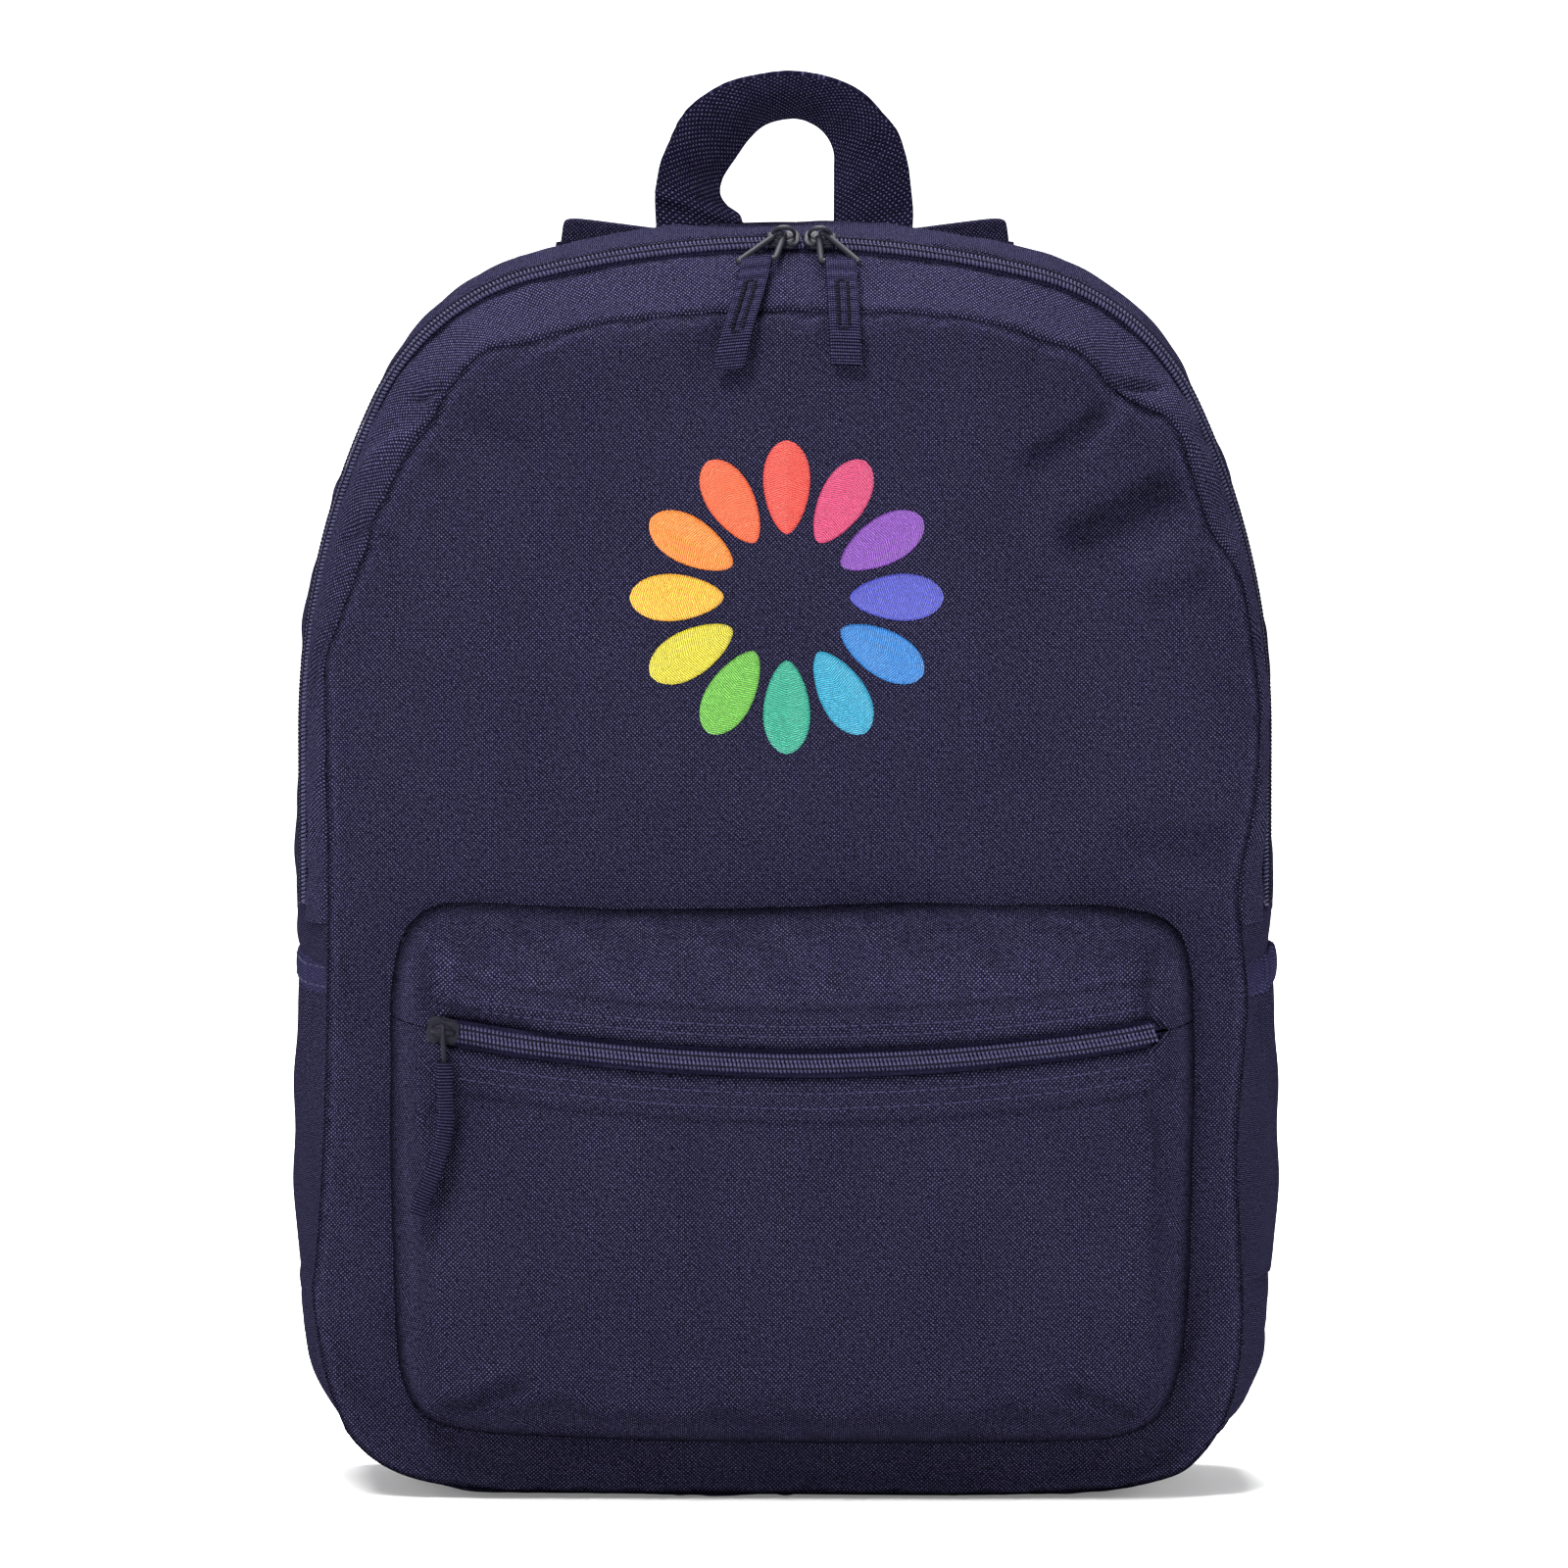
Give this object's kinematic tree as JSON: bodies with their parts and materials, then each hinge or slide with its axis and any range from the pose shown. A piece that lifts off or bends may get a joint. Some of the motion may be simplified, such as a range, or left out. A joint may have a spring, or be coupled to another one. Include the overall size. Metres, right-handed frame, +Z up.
{
  "type": "school backpack",
  "caption": "Soft school backpack with an arched zip, a zipped front pocket, open side pockets, a carry handle and padded shoulder straps.",
  "frame": {"origin": "on the floor, under the middle of the bag", "axes": "+Z up, the bag's front faces -Y, the wearer's back is at +Y, +X is the right-hand side seen from the front"},
  "size_m": [0.3288, 0.2295, 0.466],
  "materials": {
    "oxford": "navy woven polyester, dull sheen",
    "lining": "thin navy polyester lining",
    "foam": "white foam sheet",
    "webbing": "navy ribbed webbing",
    "binding": "navy grosgrain binding",
    "zip_tape": "navy woven zip tape",
    "zip_coil": "navy nylon coil",
    "slider_metal": "navy painted slider",
    "buckle_plastic": "moulded dark navy plastic",
    "thread": "navy sewing thread",
    "embroidery": "satin-stitched thread in rainbow colours"
  },
  "bodies": {
    "bag": {"back_panel": "oxford", "back_foam": "foam", "back_lining": "lining", "rear_gusset": "oxford", "bottom_panel": "oxford", "side_panel_left": "oxford", "side_panel_right": "oxford", "side_pocket_left": "oxford", "side_pocket_right": "oxford", "side_pocket_hem_left": "binding", "side_pocket_hem_right": "binding", "front_panel_lower": "oxford", "front_seam_lower": "oxford", "main_zip_tape_rear": "zip_tape", "main_zip_coil_rear": "zip_coil", "pocket_upper_panel": "oxford", "pocket_gusset_left": "oxford", "pocket_gusset_right": "oxford", "pocket_zip_coil_upper": "zip_coil", "pocket_zip_tape_upper": "zip_tape", "top_anchor_patch": "oxford", "handle_end_left": "webbing", "handle_end_right": "webbing", "strap_base_left": "oxford", "strap_base_right": "oxford", "strap_anchor_left": "oxford", "strap_anchor_right": "oxford"},
    "front_flap": {"front_panel_upper": "oxford", "front_gusset": "oxford", "front_seam_upper": "oxford", "main_zip_tape_front": "zip_tape", "main_zip_coil_front": "zip_coil", "embroidered_badge": "embroidery"},
    "pocket_front": {"pocket_lower_panel": "oxford", "pocket_zip_coil_lower": "zip_coil", "pocket_zip_tape_lower": "zip_tape"},
    "handle": {"handle": "webbing"},
    "pocket_slider": {"pocket_slider": "slider_metal"},
    "pocket_puller": {"pocket_puller": "slider_metal"},
    "pocket_pull_tab": {"pocket_pull_tab": "webbing"},
    "main_slider_left": {"main_slider_left": "slider_metal"},
    "main_puller_left": {"main_puller_left": "slider_metal"},
    "main_pull_tab_left": {"main_pull_tab_left": "webbing"},
    "shoulder_strap_left": {"strap_pad_left": "oxford", "strap_foam_left": "foam", "buckle_loop_left": "webbing", "ladder_lock_left": "buckle_plastic", "strap_webbing_left": "webbing", "webbing_tail_left": "webbing"},
    "main_slider_right": {"main_slider_right": "slider_metal"},
    "main_puller_right": {"main_puller_right": "slider_metal"},
    "main_pull_tab_right": {"main_pull_tab_right": "webbing"},
    "shoulder_strap_right": {"strap_pad_right": "oxford", "strap_foam_right": "foam", "buckle_loop_right": "webbing", "ladder_lock_right": "buckle_plastic", "strap_webbing_right": "webbing", "webbing_tail_right": "webbing"}
  },
  "joints": [
    {"name": "flap_fold", "type": "hinge", "parent": "bag", "child": "front_flap", "pos_m": [0, -0.0705, 0.2], "axis": [1, 0, 0], "range_deg": [0, 75]},
    {"name": "main_slide_left", "type": "hinge", "parent": "front_flap", "child": "main_slider_left", "pos_m": [0, -0.038, 0.0729], "axis": [0, 1, 0], "range_deg": [-13, 0]},
    {"name": "main_puller_swing_left", "type": "hinge", "parent": "main_slider_left", "child": "main_puller_left", "pos_m": [-0.0004, -0.04025, 0.4165], "axis": [0.986, -0.1316, -0.1028], "range_deg": [-100, 0]},
    {"name": "main_tab_swing_left", "type": "hinge", "parent": "main_puller_left", "child": "main_pull_tab_left", "pos_m": [-0.00249, -0.04996, 0.40891], "axis": [0.986, -0.1316, -0.1028], "range_deg": [-70, 0]},
    {"name": "main_slide_right", "type": "hinge", "parent": "front_flap", "child": "main_slider_right", "pos_m": [0, -0.038, 0.0729], "axis": [0, 1, 0], "range_deg": [0, 11]},
    {"name": "main_puller_swing_right", "type": "hinge", "parent": "main_slider_right", "child": "main_puller_right", "pos_m": [0.01153, -0.04025, 0.4163], "axis": [0.9995, 0.0241, 0.0188], "range_deg": [-100, 0]},
    {"name": "main_tab_swing_right", "type": "hinge", "parent": "main_puller_right", "child": "main_pull_tab_right", "pos_m": [0.01191, -0.0501, 0.40861], "axis": [0.9995, 0.0241, 0.0188], "range_deg": [-70, 0]},
    {"name": "pocket_lean", "type": "hinge", "parent": "bag", "child": "pocket_front", "pos_m": [0, -0.071, 0.0288], "axis": [1, 0, 0], "range_deg": [0, 12]},
    {"name": "pocket_slide", "type": "hinge", "parent": "pocket_front", "child": "pocket_slider", "pos_m": [0.0065, -0.097, 0.8134], "axis": [0, -1, 0], "range_deg": [0, 20]},
    {"name": "pocket_puller_swing", "type": "hinge", "parent": "pocket_slider", "child": "pocket_puller", "pos_m": [-0.1135, -0.10395, 0.1583], "axis": [1, 0, 0], "range_deg": [-60, 0]},
    {"name": "pocket_tab_swing", "type": "hinge", "parent": "pocket_puller", "child": "pocket_pull_tab", "pos_m": [-0.11325, -0.1085, 0.14655], "axis": [-0.0078, -0.9326, 0.3608], "range_deg": [-20, 20]},
    {"name": "handle_swing", "type": "hinge", "parent": "bag", "child": "handle", "pos_m": [0, 0.06, 0.4195], "axis": [1, 0, 0], "range_deg": [-75, 75]},
    {"name": "strap_swing_left", "type": "hinge", "parent": "bag", "child": "shoulder_strap_left", "pos_m": [-0.046, 0.071, 0.408], "axis": [-0.3199, 0, -0.9474], "range_deg": [-12, 12]},
    {"name": "strap_swing_right", "type": "hinge", "parent": "bag", "child": "shoulder_strap_right", "pos_m": [0.046, 0.071, 0.408], "axis": [0.3199, 0, -0.9474], "range_deg": [-12, 12]}
  ]
}
